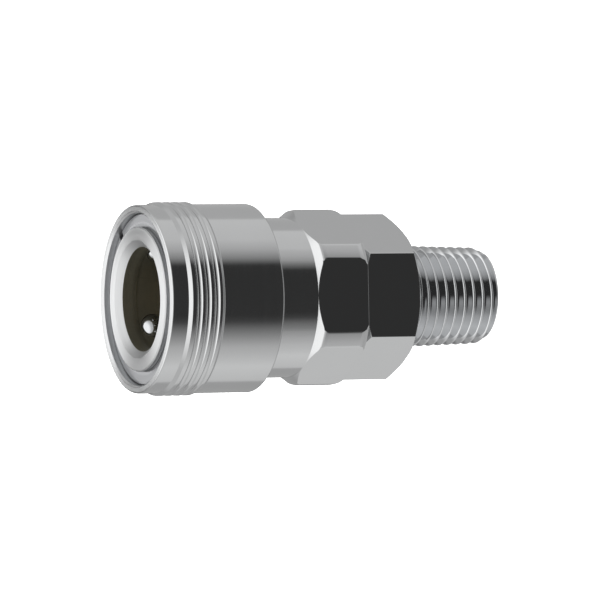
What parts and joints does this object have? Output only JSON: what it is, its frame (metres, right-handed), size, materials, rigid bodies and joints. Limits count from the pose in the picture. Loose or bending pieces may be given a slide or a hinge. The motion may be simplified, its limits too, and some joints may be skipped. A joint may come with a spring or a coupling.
{
  "type": "pneumatic quick coupling",
  "caption": "One-way air line socket with a ribbed sliding sleeve, ball lock, spring valve, two spanner hexagons and a male tapered pipe thread.",
  "frame": {"origin": "centre of the thread's end face, where the part stands", "axes": "+Z along the axis from the pipe thread to the plug mouth; -Y is square to a hexagon flat, turned by 1.1 degrees"},
  "size_m": [0.0252, 0.0252, 0.0496],
  "materials": {
    "chrome": "bright chrome plate on turned steel",
    "chrome_adapter": "bright chrome plate on turned steel",
    "chrome_sleeve": "bright chrome plate on turned steel",
    "ring_steel": "zinc plated spring steel",
    "spring_wire": "drawn stainless wire",
    "ball_steel": "polished hardened steel",
    "seal_rubber": "black nitrile rubber",
    "packing_rubber": "black nitrile rubber",
    "collar_brass": "turned brass",
    "valve_brass": "turned brass",
    "holder_brass": "turned and milled brass"
  },
  "bodies": {
    "coupling_body": {"body": "chrome", "adapter": "chrome_adapter", "adapter_seal": "seal_rubber", "stop_ring": "ring_steel", "plug_packing": "packing_rubber", "packing_collar": "collar_brass", "valve_holder": "holder_brass", "valve_spring": "spring_wire"},
    "sleeve_spring_coil": {"sleeve_spring": "spring_wire"},
    "sliding_sleeve": {"sleeve": "chrome_sleeve"},
    "check_valve": {"valve": "valve_brass", "valve_seal": "seal_rubber"},
    "ball_1": {"lock_ball_1": "ball_steel"},
    "ball_2": {"lock_ball_2": "ball_steel"},
    "ball_3": {"lock_ball_3": "ball_steel"},
    "ball_4": {"lock_ball_4": "ball_steel"}
  },
  "joints": [
    {"name": "sleeve_turn", "type": "hinge", "parent": "coupling_body", "child": "sleeve_spring_coil", "pos_m": [0, 0, 0.03525], "axis": [0, 0, 1], "continuous": true},
    {"name": "sleeve_slide", "type": "slide", "parent": "sleeve_spring_coil", "child": "sliding_sleeve", "axis": [0, 0, -1], "range_m": [0, 0.004], "stiffness_N_per_m": 2500, "springref_m": -0.004, "deforming": ["sleeve_spring"]},
    {"name": "valve_slide", "type": "slide", "parent": "coupling_body", "child": "check_valve", "axis": [0, 0, -1], "range_m": [0, 0.004], "stiffness_N_per_m": 600, "springref_m": -0.004, "deforming": ["valve_spring"]},
    {"name": "ball_1_slide", "type": "slide", "parent": "coupling_body", "child": "ball_1", "axis": [-0.515, 0.8572, 0], "range_m": [0, 0.001]},
    {"name": "ball_2_slide", "type": "slide", "parent": "coupling_body", "child": "ball_2", "axis": [-0.8572, -0.515, 0], "range_m": [0, 0.001]},
    {"name": "ball_3_slide", "type": "slide", "parent": "coupling_body", "child": "ball_3", "axis": [0.515, -0.8572, 0], "range_m": [0, 0.001]},
    {"name": "ball_4_slide", "type": "slide", "parent": "coupling_body", "child": "ball_4", "axis": [0.8572, 0.515, 0], "range_m": [0, 0.001]}
  ],
  "couplings": [
    {"joint": "ball_1_slide", "follows": "sleeve_slide", "ratio": 0.25},
    {"joint": "ball_2_slide", "follows": "sleeve_slide", "ratio": 0.25},
    {"joint": "ball_3_slide", "follows": "sleeve_slide", "ratio": 0.25},
    {"joint": "ball_4_slide", "follows": "sleeve_slide", "ratio": 0.25}
  ]
}
